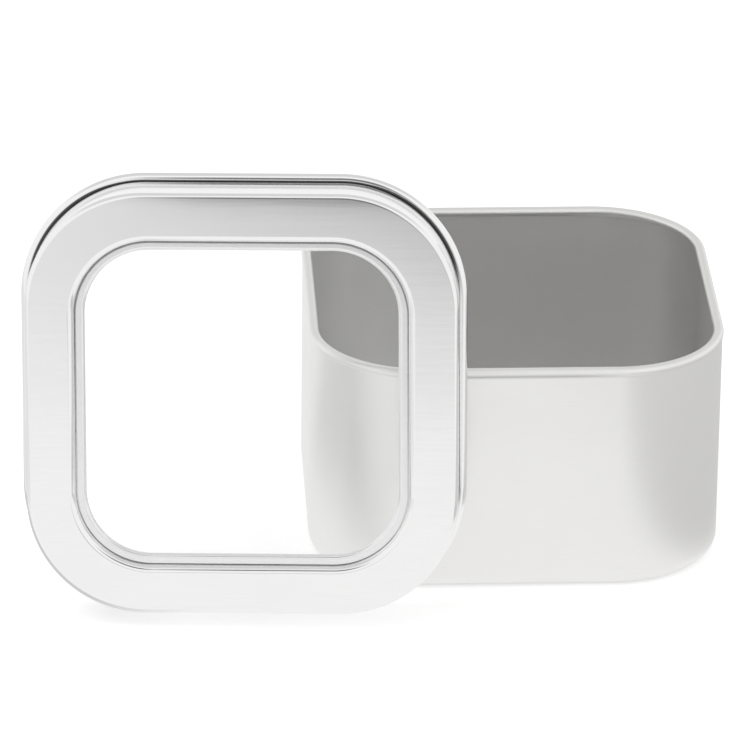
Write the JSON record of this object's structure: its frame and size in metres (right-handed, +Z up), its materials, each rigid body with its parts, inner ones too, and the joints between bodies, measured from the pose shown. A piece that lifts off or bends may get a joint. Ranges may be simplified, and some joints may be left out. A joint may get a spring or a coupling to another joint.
{
  "type": "window lid tin",
  "caption": "Square drawn tin with round corners and a rolled rim; its slip lid with a clear window is off and leans against the tin's front.",
  "frame": {"origin": "middle of the tin's flat base, on the surface that it stands on", "axes": "+Z up, -Y towards the front, where the loose lid leans on the tin, and +X to the right of someone who faces that front"},
  "size_m": [0.1017, 0.0745, 0.0634],
  "materials": {
    "tinplate": "satin tinplate",
    "clear_sheet": "clear gloss"
  },
  "bodies": {
    "tin": {"tin_body": "tinplate"},
    "lid": {"lid_frame": "tinplate", "window_pane": "clear_sheet", "window_retaining_ring": "tinplate"}
  },
  "joints": [
    {"name": "lid_lift", "type": "slide", "parent": "tin", "child": "lid", "axis": [0, 0, 1], "range_m": [0, 0.045]}
  ]
}
